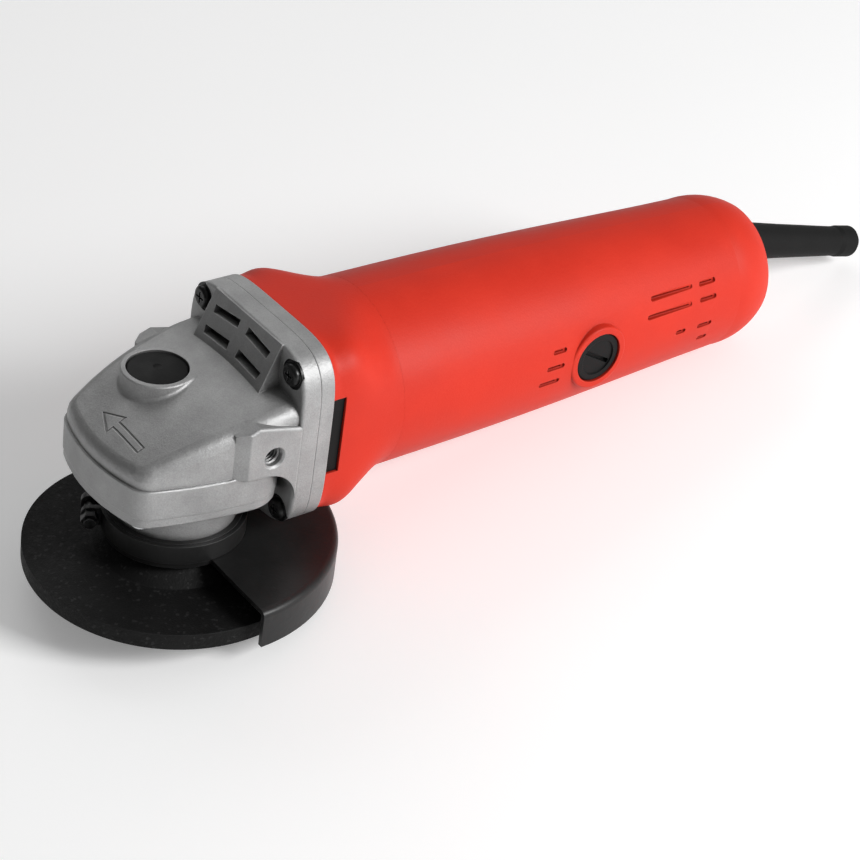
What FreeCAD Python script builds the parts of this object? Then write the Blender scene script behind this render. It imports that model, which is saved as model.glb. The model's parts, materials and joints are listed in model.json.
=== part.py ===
import FreeCAD, Part
import math
import os

from FreeCAD import Vector as V

os.makedirs("parts", exist_ok=True)

# Small angle grinder, 100 mm disc class.
# Frame: +Z up along the spindle, +X from the spindle towards the tail, +Y to the switch side.
# Origin: on the spindle axis, in the outer face of the lock nut.  Millimetres.

# ---------------------------------------------------------------- driving dimensions
MOTOR_Z = 55.0              # height of the motor axis above the lock nut's face
RUN = 0.05                  # radial clearance of a shaft that turns in a hole

# head
NOSE_X = -33.5
HEAD_BOTTOM_Z = 39.8        # seam between gear housing and bearing box
RIM_Z = 50.7                # fine ledge around the head
CAVITY_R = 23.0
TOP_FILLET = 5.0
CEILING_Z = 58.0            # top of the gear cavity
POCKET_Z = 62.0             # floor of the lock button's pocket
FLANGE_X0 = 23.0
SEAM_X = 30.0               # gear housing against cover plate
COVER_X1 = 35.3             # cover plate against the plastic housing
FLANGE_HALF = 34.0
FLANGE_POWER = 5.0          # superellipse power of the flange outline
SCREW_SPACING = 26.3        # flange screws, half the side of their square
PAD_HALF_Y = 34.0
HANDLE_X = 13.8
HANDLE_Z = 56.4
HANDLE_R = 3.4              # core radius of the M8 thread
HANDLE_DEPTH = 11.0

# neck, guard and disc
NECK_R = 21.0
NECK_Z0 = 17.0
BOX_FLANGE_Z0 = 36.2
GUARD_R = 56.0
GUARD_PLATE_Z0 = 12.0
GUARD_PLATE_Z1 = 13.8
GUARD_SKIRT_Z0 = -0.2
GUARD_SHEET = 1.8
DISC_R = 50.0
DISC_Z0 = -0.8
DISC_THICK = 6.0
DISC_OFFSET = 4.5           # depressed centre
DISC_BORE_R = 8.0
NUT_R = 15.5
NUT_THICK = 3.6
PIN_HOLE_PCD = 22.0
PIN_HOLE_R = 2.1
INNER_FLANGE_R = 20.0

# bevel gears: apex on the spindle axis at motor height
GEAR_TEETH = 40
PINION_TEETH = 12
GEAR_PITCH_R = 20.0
PINION_PITCH_R = 6.0
FACE_WIDTH = 5.5

# spindle lock
LOCK_R = 10.3
LOCK_ANGLE = 116.0
LOCK_PIN_R = 2.4
LOCK_CAP_R = 10.1
LOCK_COLLAR_R = 12.2
LOCK_COLLAR_Z = 71.0
ARROW_DEPTH = 0.35

# barrel and motor
ROUND_X = 66.0              # from here on the barrel is round
TAIL_X = 250.0
WALL = 2.8
BRUSH_X = 153.4
BRUSH_BOSS_R = 12.4
BRUSH_BOSS_Y = 32.4
BRUSH_CAP_R = 9.5
COVER_SPLIT_X = 172.0
COVER_SCREW_DROP = 19.0     # rear cover screws, below the motor axis
CORE_X0 = 70.0
CORE_X1 = 118.0
ROTOR_R = 17.6
COIL_Y1 = 21.2              # outer face of the field coils, from the motor axis
COIL_Z1 = 16.5
FIELD_SCREW_Y = 26.0
FAN_X0 = 44.5
FAN_X1 = 53.0
FAN_R = 28.5
SWITCH_TRAVEL = 6.0
GUARD_TURN_ANGLE = 150.0    # where the clamp lugs stand, about Z


# ---------------------------------------------------------------- helpers
def cyl(radius, start, direction, length):
    return Part.makeCylinder(radius, length, start, direction)


def cyl_z(radius, z0, z1, x=0.0, y=0.0):
    return cyl(radius, V(x, y, z0), V(0, 0, 1), z1 - z0)


def cyl_x(radius, x0, x1, y=0.0, z=MOTOR_Z):
    return cyl(radius, V(x0, y, z), V(1, 0, 0), x1 - x0)


def cyl_y(radius, y0, y1, x, z):
    return cyl(radius, V(x, y0, z), V(0, 1, 0), y1 - y0)


def ring_z(outer, inner, z0, z1):
    return cyl_z(outer, z0, z1).cut(cyl_z(inner, z0 - 1, z1 + 1))


def ring_x(outer, inner, x0, x1):
    return cyl_x(outer, x0, x1).cut(cyl_x(inner, x0 - 1, x1 + 1))


def box(x0, x1, y0, y1, z0, z1):
    return Part.makeBox(x1 - x0, y1 - y0, z1 - z0, V(x0, y0, z0))


def polygon_face(points):
    return Part.Face(Part.makePolygon(points + [points[0]]))


def prism_xz(points, y0, y1):
    """Side profile of (x, z) points, extruded along Y."""
    face = polygon_face([V(x, y0, z) for x, z in points])
    return face.extrude(V(0, y1 - y0, 0))


def prism_yz(points, x0, x1):
    """Front profile of (y, z) points, extruded along X."""
    face = polygon_face([V(x0, y, z) for y, z in points])
    return face.extrude(V(x1 - x0, 0, 0))


def prism_xy(points, z0, z1):
    face = polygon_face([V(x, y, z0) for x, y in points])
    return face.extrude(V(0, 0, z1 - z0))


def turned_z(points):
    """Solid of (radius, z) points turned about the spindle axis."""
    return polygon_face([V(r, 0, z) for r, z in points]).revolve(V(0, 0, 0), V(0, 0, 1), 360)


def turned_x(points):
    """Solid of (x, radius) points turned about the motor axis."""
    face = polygon_face([V(x, 0, MOTOR_Z + r) for x, r in points])
    return face.revolve(V(0, 0, MOTOR_Z), V(1, 0, 0), 360)


def fuse(shapes):
    result = shapes[0].multiFuse(shapes[1:])
    return result.removeSplitter()


def both_sides(shape):
    return [shape, shape.mirror(V(0, 0, 0), V(0, 1, 0))]


def turned(shape, angle, centre=V(0, 0, 0), axis=V(0, 0, 1)):
    copy = shape.copy()
    copy.rotate(centre, axis, angle)
    return copy


def around(shape, count, centre=V(0, 0, 0), axis=V(0, 0, 1), start=0.0):
    return [turned(shape, start + i * 360.0 / count, centre, axis) for i in range(count)]


def hexagon_z(across, z0, z1, x=0.0, y=0.0):
    r = across / math.sqrt(3)
    points = []
    for i in range(6):
        a = math.radians(60 * i)
        points.append((x + r * math.cos(a), y + r * math.sin(a)))
    return prism_xy(points, z0, z1)


def fillet_where(shape, radius, wanted):
    edges = [e for e in shape.Edges if wanted(e)]
    return shape.makeFillet(radius, edges)


def middle(edge):
    return edge.valueAt((edge.FirstParameter + edge.LastParameter) / 2)


def superellipse(x, half, power, count=64):
    """Closed smooth outline about the motor axis in the plane at x."""
    points = []
    for i in range(count):
        a = 2 * math.pi * i / count
        c, s = math.cos(a), math.sin(a)
        r = half / (abs(c) ** power + abs(s) ** power) ** (1 / power)
        points.append(V(x, r * c, MOTOR_Z + r * s))
    curve = Part.BSplineCurve()
    curve.interpolate(points, PeriodicFlag=True)
    return Part.Wire([curve.toShape()])


def superellipse_slab(x0, x1, half, power):
    return Part.Face(superellipse(x0, half, power)).extrude(V(x1 - x0, 0, 0))


def pan_screw(start, direction, head_r, head_h, shank_r, length, washer=0.0):
    """Pan-head screw: start is under the head, direction is along the shank."""
    back = direction * -1
    parts = [cyl(shank_r, start, direction, length)]
    head = cyl(head_r, start, back, head_h)
    head = fillet_where(head, head_h * 0.45, lambda e: far_from(e, start, direction, head_h))
    parts.append(head)
    if washer:
        parts.append(cyl(head_r + 0.9, start, back, washer))
    screw = fuse(parts)
    slot_start = start + back * (head_h - head_h * 0.5)
    for tool in cross_recess(slot_start, direction, head_r * 0.55, head_h):
        screw = screw.cut(tool)
    return screw


def far_from(edge, start, direction, distance):
    along = (edge.CenterOfMass - start).dot(direction * -1)
    return abs(along - distance) < 0.01


def cross_recess(start, direction, reach, depth):
    """Two crossed bars that stand from start out of the screw's head."""
    side = V(0, 0, 1).cross(direction)
    if side.Length < 0.1:
        side = V(1, 0, 0)
    side.normalize()
    other = direction.cross(side)
    tools = []
    for along, across in ((side, other), (other, side)):
        corner = start - along * reach - across * (reach * 0.18)
        points = [
            corner,
            corner + along * (2 * reach),
            corner + along * (2 * reach) + across * (reach * 0.36),
            corner + across * (reach * 0.36),
        ]
        tools.append(polygon_face(points).extrude(direction * -depth))
    return tools


def frustum(points, apex, scale):
    """Solid between a quadrilateral and its copy scaled towards apex."""
    far = [apex + (p - apex) * scale for p in points]
    faces = [polygon_face(points), polygon_face(far)]
    count = len(points)
    for i in range(count):
        j = (i + 1) % count
        faces.append(polygon_face([points[i], points[j], far[j], far[i]]))
    shell = Part.makeShell(faces)
    solid = Part.makeSolid(shell)
    if solid.Volume < 0:
        solid.reverse()
    return solid


def coil_spring(coil_r, wire_r, pitch, turns):
    """Helical spring up from z = 0; its wire has an eight-sided section."""
    corners = []
    for i in range(8):
        a = math.radians(22.5 + 45 * i)
        corners.append(V(coil_r + wire_r * math.cos(a), 0, wire_r * math.sin(a)))
    section = Part.makePolygon(corners + [corners[0]])
    helix = Part.makeHelix(pitch, turns * pitch, coil_r)
    return Part.Wire(helix).makePipeShell([section], True, True)


def save(name, shapes):
    if not isinstance(shapes, (list, tuple)):
        shapes = [shapes]
    solids = []
    for shape in shapes:
        solids += shape.Solids
    whole = solids[0] if len(solids) == 1 else Part.makeCompound(solids)
    whole.exportStep("parts/" + name + ".step")
    bounds = whole.BoundBox
    print(
        "%-28s solids %2d volume %9.1f valid %s  x %.1f..%.1f y %.1f..%.1f z %.1f..%.1f"
        % (
            name, len(solids), whole.Volume, whole.isValid(),
            bounds.XMin, bounds.XMax, bounds.YMin, bounds.YMax, bounds.ZMin, bounds.ZMax,
        )
    )


# ---------------------------------------------------------------- head castings
def head_plan(grow, rear):
    """Plan outline of the head; rear is 'flange' above the ledge and 'round' below it."""
    nose = V(NOSE_X - grow, 0, 0)
    nose_end = V(-30.3 - 0.96 * grow, 20.4 + 0.28 * grow, 0)
    corner = V(-28.5 - 0.7 * grow, 23.6 + 0.7 * grow, 0)
    side_start = V(-25.2 - 0.25 * grow, 25.4 + 0.97 * grow, 0)
    side_middle = V(-8.0, 29.6 + grow, 0)
    if rear == "flange":
        side_end = V(FLANGE_X0 + 1, 32.6 + grow, 0)
    else:
        side_end = V(9.0, 31.7 + grow, 0)

    def flip(p):
        return V(p.x, -p.y, p.z)

    half = [Part.Arc(nose_end, corner, side_start), Part.Arc(side_start, side_middle, side_end)]
    other = [
        Part.Arc(flip(side_end), flip(side_middle), flip(side_start)),
        Part.Arc(flip(side_start), flip(corner), flip(nose_end)),
    ]
    if rear == "flange":
        back = [Part.LineSegment(side_end, flip(side_end))]
    else:
        turn = V(FLANGE_X0 + 1, 16.7, 0)
        bulge = V(19.6 + 0.7 * grow, 27.3 + 0.7 * grow, 0)
        back = [
            Part.Arc(side_end, bulge, turn),
            Part.LineSegment(turn, flip(turn)),
            Part.Arc(flip(turn), flip(bulge), flip(side_end)),
        ]
    curves = [Part.Arc(flip(nose_end), nose, nose_end)] + half + back + other
    return Part.Wire([c.toShape() for c in curves])


def head_prism(grow, rear, z0, z1):
    solid = Part.Face(head_plan(grow, rear)).extrude(V(0, 0, z1 - z0))
    solid.translate(V(0, 0, z0))
    return solid


def outline_edge(edge, z):
    """True for an edge of the head's outline at height z, the hidden back apart."""
    m = middle(edge)
    return abs(m.z - z) < 0.01 and m.x < FLANGE_X0


def head_top_block():
    """Block whose upper face is the head's crowned, curved top."""
    crown = 2.2
    wires = []
    for y in (-38.0, -19.0, 0.0, 19.0, 38.0):
        drop = crown * (y / 30.0) ** 2
        front = V(-40, y, 51.5 - drop)
        mid = V(-6, y, 68.0 - drop)
        back = V(32, y, 74.6 - drop)
        low_back = V(32, y, RIM_Z - 4)
        low_front = V(-40, y, RIM_Z - 4)
        wires.append(
            Part.Wire(
                [
                    Part.Arc(front, mid, back).toShape(),
                    Part.LineSegment(back, low_back).toShape(),
                    Part.LineSegment(low_back, low_front).toShape(),
                    Part.LineSegment(low_front, front).toShape(),
                ]
            )
        )
    return Part.makeLoft(wires, True, False)


def handle_pad():
    """Flat boss for the side handle, flush with the flange's side."""
    front_x = 0.2
    arch = Part.Arc(V(12.5, 0, 49.6), V(20.2, 0, 45.6), V(FLANGE_X0 + 0.6, 0, 37.0)).toShape()
    points = [
        V(FLANGE_X0 + 0.6, 0, 37.0),
        V(FLANGE_X0 + 0.6, 0, 65.4),
        V(7.5, 0, 69.4),
        V(front_x, 0, 66.8),
        V(front_x, 0, RIM_Z - 0.2),
        V(12.5, 0, 49.6),
    ]
    edges = [Part.LineSegment(points[i], points[i + 1]).toShape() for i in range(5)]
    face = Part.Face(Part.Wire(edges + [arch]))
    face.translate(V(0, -PAD_HALF_Y, 0))
    pad = face.extrude(V(0, 9.0, 0))

    # wide chamfer down the front of the pad, then the softened edges
    corner = [(front_x - 1.33, -30), (front_x - 1.33, -35), (front_x + 5.33, -35)]
    pad = pad.cut(prism_xy(corner, RIM_Z - 4, 72))

    def front_edges(e):
        m = middle(e)
        return abs(m.y + PAD_HALF_Y) < 0.01 and m.x < 20 and m.z > 52

    return fillet_where(pad, 1.2, front_edges)


def vent_window(points, side):
    return prism_yz([(side * y, z) for y, z in points], 8, 26)


def gear_housing():
    lower = head_prism(0.9, "round", HEAD_BOTTOM_Z, RIM_Z)
    lower = fillet_where(lower, 0.5, lambda e: outline_edge(e, RIM_Z))
    upper = head_prism(0.0, "flange", RIM_Z - 1.0, 90)
    upper = upper.common(head_top_block())

    def top_edge(e):
        a = e.valueAt(e.FirstParameter)
        b = e.valueAt(e.LastParameter)
        upright = math.hypot(a.x - b.x, a.y - b.y) < 0.01
        return middle(e).z > RIM_Z + 1.5 and middle(e).x < FLANGE_X0 and not upright

    upper = fillet_where(upper, TOP_FILLET, top_edge)
    lock_x = LOCK_R * math.cos(math.radians(LOCK_ANGLE))
    lock_y = LOCK_R * math.sin(math.radians(LOCK_ANGLE))
    collar = cyl_z(LOCK_COLLAR_R, 58, LOCK_COLLAR_Z, lock_x, lock_y)
    upper = upper.fuse(collar)
    upper = fillet_where(
        upper, 1.2, lambda e: on_collar_foot(e, lock_x, lock_y)
    )
    upper = fillet_where(
        upper, 0.6, lambda e: abs(e.CenterOfMass.z - LOCK_COLLAR_Z) < 0.01
    )

    flange = superellipse_slab(FLANGE_X0, SEAM_X, FLANGE_HALF, FLANGE_POWER)
    flange = fillet_where(flange, 1.2, lambda e: abs(e.CenterOfMass.x - FLANGE_X0) < 0.01)
    wedge = prism_xz([(13.0, 67.0), (22.9, 88.5), (27, 88.5), (27, 62), (13.0, 62)], -19.5, 19.5)
    body = fuse([upper, lower, flange, wedge] + both_sides(handle_pad()))

    # vent windows through the sloped face, two rows of two
    upper_row = [(2.2, 83.2), (2.4, 85.8), (16.2, 84.4), (15.6, 81.9)]
    lower_row = [(2.4, 75.6), (2.7, 78.5), (16.4, 77.4), (15.7, 74.9)]
    for side in (1, -1):
        body = body.cut(vent_window(upper_row, side))
        body = body.cut(vent_window(lower_row, side))

    # hollow inside: gear cavity, pinion tunnel, air chamber behind the vents
    cavity = [
        cyl_z(CAVITY_R, HEAD_BOTTOM_Z - 1, 52.5),
        cyl_z(15.0, 52.4, CEILING_Z),
        cyl_x(13.4, 8.6, SEAM_X + 1),
        prism_xz([(18.6, 73.2), (24.5, 86.1), (31, 86.1), (31, 73.2)], -16.8, 16.8),
    ]
    body = body.cut(cavity)
    # bosses under the ceiling: needle bearing seat and guide of the lock pin
    bosses = [cyl_z(7.6, 51.3, CEILING_Z + 1), cyl_z(4.4, 52.4, CEILING_Z + 1, lock_x, lock_y)]
    body = fuse([body] + bosses)
    bores = [
        cyl_z(6.0, 50.0, 60.0),
        cyl_z(LOCK_CAP_R + 0.3, POCKET_Z, LOCK_COLLAR_Z + 5, lock_x, lock_y),
        cyl_z(LOCK_PIN_R + RUN, 50.0, POCKET_Z + 1, lock_x, lock_y),
    ]
    body = body.cut(bores)

    # air passages beside the pinion tunnel, out of the flange's rear face
    body = body.cut(both_sides(box(19, SEAM_X + 1, 17, 25, MOTOR_Z - 6, MOTOR_Z + 10)))

    # holes: flange screws with their shallow seats, handle threads, bearing box screws
    for y, z in flange_screw_places():
        body = body.cut(cyl_x(2.15, FLANGE_X0 - 5, SEAM_X + 1, y, z))
        body = body.cut(cyl_x(5.1, FLANGE_X0 - 15, FLANGE_X0 + 1.2, y, z))
    for side in (1, -1):
        start = V(HANDLE_X, side * (PAD_HALF_Y + 0.01), HANDLE_Z)
        body = body.cut(cyl(HANDLE_R, start, V(0, -side, 0), HANDLE_DEPTH))
        cone = Part.makeCone(4.1, HANDLE_R, 0.7, start, V(0, -side, 0))
        body = body.cut(cone)
    for x, y in box_screw_places():
        body = body.cut(cyl_z(1.65, HEAD_BOTTOM_Z - 1, HEAD_BOTTOM_Z + 9, x, y))

    # direction arrow, an outline cut shallow into the nose, pointing to +Y
    return body.cut(arrow_groove())


def on_collar_foot(edge, lock_x, lock_y):
    m = middle(edge)
    reach = math.hypot(m.x - lock_x, m.y - lock_y)
    return abs(reach - LOCK_COLLAR_R) < 0.05 and m.z < LOCK_COLLAR_Z - 0.5 and edge.Length > 4


def arrow_groove():
    """Shallow outline arrow for the direction of rotation in the sloping top."""
    axis_x = -24.8
    line = 0.55
    tip = (axis_x, 8.4)
    half = [(axis_x + 3.8, -0.4), (axis_x + 1.4, -0.4), (axis_x + 1.4, -15.4)]
    other = [(2 * axis_x - x, y) for x, y in reversed(half)]
    outer = prism_xy([tip] + half + other, 55, 90)
    tip = (axis_x, 7.0)
    half = [(axis_x + 2.85, line - 0.4), (axis_x + 1.4 - line, line - 0.4), (axis_x + 1.4 - line, line - 15.4)]
    other = [(2 * axis_x - x, y) for x, y in reversed(half)]
    inner = prism_xy([tip] + half + other, 54, 91)
    lowered = head_top_block()
    lowered.translate(V(0, 0, -ARROW_DEPTH))
    return outer.cut(inner).cut(lowered)


def flange_screw_places():
    s = SCREW_SPACING
    return [(-s, MOTOR_Z - s), (s, MOTOR_Z - s), (s, MOTOR_Z + s), (-s, MOTOR_Z + s)]


def box_screw_places():
    return [(-26.2, -20.4), (-26.2, 20.4), (13.5, -25.2), (13.5, 25.2)]


def air_passages(x0, x1):
    """Windows through the cover plate and the baffle, two at the sides and one above."""
    side = box(x0, x1, 17.5, 25.5, MOTOR_Z - 6, MOTOR_Z + 10)
    return both_sides(side) + [box(x0, x1, -11.0, 11.0, 73.4, 81.4)]


def gear_housing_cover():
    """Plate between the casting and the plastic housing; it seats the front motor bearing."""
    plate = superellipse_slab(SEAM_X, COVER_X1, FLANGE_HALF, FLANGE_POWER)
    plate = fillet_where(plate, 0.5, lambda e: abs(e.CenterOfMass.x - SEAM_X) < 0.01)
    boss = cyl_x(16.0, COVER_X1 - 1, 40.0)
    pilot = ring_x(13.2, 9.0, 27.5, SEAM_X + 1)
    body = fuse([plate, boss, pilot])
    body = body.cut(cyl_x(13.0, 30.8, 41))
    body = body.cut(cyl_x(6.2, 26, 32))
    # air passages that meet those of the casting
    body = body.cut(air_passages(29, COVER_X1 + 1))
    for y, z in flange_screw_places():
        body = body.cut(cyl_x(2.15, 29, 36, y, z))
    return body


def bearing_box():
    """Lower cover of the head: it seats the spindle bearing and its neck carries the guard."""
    plan = head_prism(0.6, "round", BOX_FLANGE_Z0, HEAD_BOTTOM_Z)
    plan = fillet_where(plan, 0.7, lambda e: outline_edge(e, BOX_FLANGE_Z0))
    neck = turned_z(
        [
            (0, NECK_Z0), (NECK_R - 0.8, NECK_Z0), (NECK_R, NECK_Z0 + 0.8), (NECK_R, BOX_FLANGE_Z0),
            (NECK_R + 1.5, BOX_FLANGE_Z0 + 0.5), (NECK_R + 1.5, HEAD_BOTTOM_Z - 0.5),
            (CAVITY_R, HEAD_BOTTOM_Z - 0.5), (CAVITY_R, HEAD_BOTTOM_Z + 1.6), (0, HEAD_BOTTOM_Z + 1.6),
        ]
    )
    body = fuse([plan, neck]).cut(box(FLANGE_X0 - 0.02, 40, -40, 40, 0, 60))
    # groove that the guard's collar is keyed in
    body = body.cut(ring_z(NECK_R + 0.2, NECK_R - 0.6, 19.0, 20.0))
    body = body.cut(cyl_z(7.4, NECK_Z0 - 1, NECK_Z0 + 5))
    body = body.cut(cyl_z(11.5, NECK_Z0 + 2.5, NECK_Z0 + 5))
    body = body.cut(cyl_z(16.0, NECK_Z0 + 4.0, 50))
    for x, y in box_screw_places():
        body = body.cut(cyl_z(1.9, BOX_FLANGE_Z0 - 1, HEAD_BOTTOM_Z + 1, x, y))
        body = body.cut(cyl_z(3.7, BOX_FLANGE_Z0 - 1, BOX_FLANGE_Z0 + 0.6, x, y))
    return body


# ---------------------------------------------------------------- bearings
def ball_bearing(bore_r, outer_r, width):
    """Deep-groove bearing about Z from z 0: outer ring with its balls, and inner ring."""
    mid_r = (bore_r + outer_r) / 2
    ball_r = (outer_r - bore_r) * 0.27
    outer_land = mid_r + ball_r * 0.55
    inner_land = mid_r - ball_r * 0.55
    centre = V(mid_r, 0, width / 2)
    track = Part.makeTorus(mid_r, ball_r + 0.04, V(0, 0, width / 2), V(0, 0, 1))
    outer = ring_z(outer_r, outer_land, 0, width).cut(track)
    inner = ring_z(inner_land, bore_r, 0, width).cut(track)
    count = 8
    balls = around(Part.makeSphere(ball_r, centre), count)
    return [outer] + balls, inner


def onto_motor_axis(shape, x):
    moved = turned(shape, 90, V(0, 0, 0), V(0, 1, 0))
    moved.translate(V(x, 0, MOTOR_Z))
    return moved


SPINDLE_BEARING_Z = NECK_Z0 + 4.0
FRONT_BEARING_X = 31.0
REAR_BEARING_X = 172.5


# ---------------------------------------------------------------- bevel gears
APEX = V(0, 0, MOTOR_Z)
CONE = math.hypot(GEAR_PITCH_R, PINION_PITCH_R)
TOOTH_SCALE = (CONE - FACE_WIDTH) / CONE
ADDENDUM = 0.85
DEDENDUM = 1.25
PITCH = 2 * math.pi * GEAR_PITCH_R / GEAR_TEETH
TIP_HALF = 0.13 * PITCH
ROOT_HALF = 0.31 * PITCH


def bevel_tooth(pitch_r, mate_r, axis_dir, radial, side):
    """One tooth at the pitch point; axis_dir points from the apex along the gear's axis."""
    outward = (radial * mate_r - axis_dir * pitch_r)
    outward.normalize()
    pitch_point = APEX + axis_dir * mate_r + radial * pitch_r
    points = []
    for height, half in ((-DEDENDUM - 0.3, -ROOT_HALF), (ADDENDUM, -TIP_HALF),
                         (ADDENDUM, TIP_HALF), (-DEDENDUM - 0.3, ROOT_HALF)):
        points.append(pitch_point + outward * height + side * half)
    return frustum(points, APEX, TOOTH_SCALE)


def root_cone(pitch_r, mate_r, inner_r):
    """(radius, depth) pairs of the toothed face, depth from the apex along the axis."""
    n_r = mate_r / CONE
    n_a = -pitch_r / CONE
    outer = (pitch_r - n_r * DEDENDUM, mate_r - n_a * DEDENDUM)
    inner = (outer[0] * TOOTH_SCALE, outer[1] * TOOTH_SCALE)
    return outer, inner, inner_r


def bevel_gear():
    outer, inner, bore = root_cone(GEAR_PITCH_R, PINION_PITCH_R, 6.5)
    z_outer = MOTOR_Z - outer[1]
    z_inner = MOTOR_Z - inner[1]
    web_top = 47.6
    web_bottom = 42.2
    hub_bottom = 33.4
    blank = turned_z(
        [
            (bore, hub_bottom), (8.6, hub_bottom), (8.6, web_bottom), (18.6, web_bottom + 0.4),
            (outer[0] + 0.4, z_outer - 2.0), (outer[0], z_outer), (inner[0], z_inner),
            (inner[0] - 0.5, web_top), (bore, web_top),
        ]
    )
    tooth = bevel_tooth(GEAR_PITCH_R, PINION_PITCH_R, V(0, 0, -1), V(1, 0, 0), V(0, 1, 0))
    first = 180.0 / GEAR_TEETH
    gear = fuse([blank] + around(tooth, GEAR_TEETH, start=first))
    hole = cyl_z(LOCK_PIN_R + 0.35, 43.0, 49, LOCK_R, 0)
    for tool in around(hole, 4, start=LOCK_ANGLE):
        gear = gear.cut(tool)
    keyway = box(5.8, 8.0, -1.3, 1.3, hub_bottom - 1, 40.2)
    return gear.cut(keyway)


def bevel_pinion():
    outer, inner, bore = root_cone(PINION_PITCH_R, GEAR_PITCH_R, 2.5)
    blank = turned_x(
        [
            (inner[1], bore), (inner[1], inner[0]), (outer[1], outer[0]), (outer[1] + 1.0, 6.2),
            (26.0, 6.2), (26.0, bore),
        ]
    )
    tooth = bevel_tooth(PINION_PITCH_R, GEAR_PITCH_R, V(1, 0, 0), V(0, 0, -1), V(0, 1, 0))
    return fuse([blank] + around(tooth, PINION_TEETH, APEX, V(1, 0, 0)))


def pinion_nut():
    nut = hexagon_z(8.0, 0, 3.4).cut(cyl_z(2.5, -1, 5))
    nut.rotate(V(0, 0, 0), V(0, 1, 0), 90)
    nut.translate(V(11.1, 0, MOTOR_Z))
    return nut


# ---------------------------------------------------------------- spindle side
def spindle():
    """Threaded M10 end, seat for the flange with two flats, bearing and gear seats."""
    body = turned_z(
        [
            (0, 0.6), (4.4, 0.6), (5.0, 1.2), (5.0, 11.0), (6.0, 11.0), (6.0, 14.8), (7.0, 14.8),
            (7.0, 18.8), (7.3, 18.8), (7.3, SPINDLE_BEARING_Z), (6.0, SPINDLE_BEARING_Z), (6.0, 33.4),
            (6.5, 33.4), (6.5, 48.2), (5.9, 48.2), (5.9, 49.1), (6.5, 49.1), (6.5, 50.0), (4.0, 50.6),
            (4.0, 59.0), (3.4, 59.5), (0, 59.5),
        ]
    )
    flats = [box(5.2, 7, -7, 7, 10.9, 14.8), box(-7, -5.2, -7, 7, 10.9, 14.8)]
    for tool in flats:
        body = body.cut(tool)
    return body.cut(box(5.1, 8, -1.3, 1.3, 34.0, 40.0))


def gear_key():
    return box(5.15, 7.9, -1.25, 1.25, 34.05, 39.9)


def gear_circlip():
    ring = ring_z(7.9, 5.95, 48.25, 49.0)
    return ring.cut(box(4, 9, -1.5, 1.5, 47, 50))


def inner_flange():
    top = DISC_Z0 + DISC_THICK + DISC_OFFSET
    body = turned_z(
        [
            (5.05, top - 2.2), (7.9, top - 2.2), (7.9, top), (INNER_FLANGE_R, top),
            (INNER_FLANGE_R, top + 2.4), (INNER_FLANGE_R - 1.0, top + 3.4), (12.5, top + 4.4),
            (11.5, 14.75), (6.05, 14.75), (6.05, 10.98), (5.05, 10.98),
        ]
    )
    recess = ring_z(15.0, 9.6, top - 0.1, top + 0.6)
    return body.cut(recess)


def grinding_disc():
    """Depressed-centre wheel: flat rim, raised hub of the same thickness."""
    z0, z1 = DISC_Z0, DISC_Z0 + DISC_THICK
    up = DISC_OFFSET
    return turned_z(
        [
            (DISC_BORE_R, z0 + up), (19.5, z0 + up), (25.0, z0), (DISC_R, z0), (DISC_R, z1),
            (26.5, z1), (21.0, z1 + up), (DISC_BORE_R, z1 + up),
        ]
    )


def lock_nut():
    hub_top = DISC_Z0 + DISC_OFFSET + 2.6
    body = turned_z(
        [
            (5.02, 0), (NUT_R - 0.6, 0), (NUT_R, 0.6), (NUT_R, NUT_THICK + 0.1), (7.9, NUT_THICK + 0.1),
            (7.9, hub_top), (5.02, hub_top),
        ]
    )
    hole = cyl_z(PIN_HOLE_R, -1, 2.6, PIN_HOLE_PCD / 2, 0)
    for tool in around(hole, 4, start=45):
        body = body.cut(tool)
    return body


# ---------------------------------------------------------------- guard
def wheel_guard():
    """Half guard: plate, skirt with a turned-in lip, and the collar that goes round the neck."""
    r, t = GUARD_R, GUARD_SHEET
    corner = 2.4
    outline = [
        (NECK_R + 2.0, GUARD_PLATE_Z0), (r - t, GUARD_PLATE_Z0), (r - t, GUARD_SKIRT_Z0),
        (r, GUARD_SKIRT_Z0), (r, GUARD_PLATE_Z1), (NECK_R + 2.0, GUARD_PLATE_Z1),
    ]
    face = polygon_face([V(0, -x, z) for x, z in outline])
    half = face.revolve(V(0, 0, 0), V(0, 0, 1), 180)

    def outer_bend(e):
        m = middle(e)
        return abs(math.hypot(m.x, m.y) - r) < 0.01 and abs(m.z - GUARD_PLATE_Z1) < 0.01

    half = fillet_where(half, corner, outer_bend)
    collar = ring_z(NECK_R + 2.0, NECK_R + 0.15, GUARD_PLATE_Z0, 21.2)
    collar = fuse([collar, ring_z(NECK_R + 3.0, NECK_R + 0.15, GUARD_PLATE_Z0, GUARD_PLATE_Z1)])
    slit = turned(box(18, 26, -2.2, 2.2, GUARD_PLATE_Z0 - 1, 23), GUARD_TURN_ANGLE)
    body = fuse([half, collar]).cut(slit)
    return body


def guard_clamp():
    """Steel band round the collar with two ears."""
    z0, z1 = GUARD_PLATE_Z1 + 0.3, 21.0
    band = ring_z(NECK_R + 3.6, NECK_R + 2.02, z0, z1)
    band = band.cut(box(18, 27, -2.4, 2.4, z0 - 1, z1 + 1))
    ears = []
    for side in (1, -1):
        y0, y1 = (2.4, 4.2) if side > 0 else (-4.2, -2.4)
        ear = box(NECK_R + 1.9, NECK_R + 9.8, y0, y1, z0, z1)
        ear = ear.cut(cyl_z(NECK_R + 2.02, z0 - 1, z1 + 1))
        ear = fillet_where(ear, 2.6, lambda e: abs(middle(e).x - NECK_R - 9.8) < 0.01 and e.Length < 2.5)
        ears.append(ear)
    body = fuse([band] + ears)
    body = body.cut(cyl_y(2.1, -6, 6, NECK_R + 6.8, (z0 + z1) / 2))
    return turned(body, GUARD_TURN_ANGLE)


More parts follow.
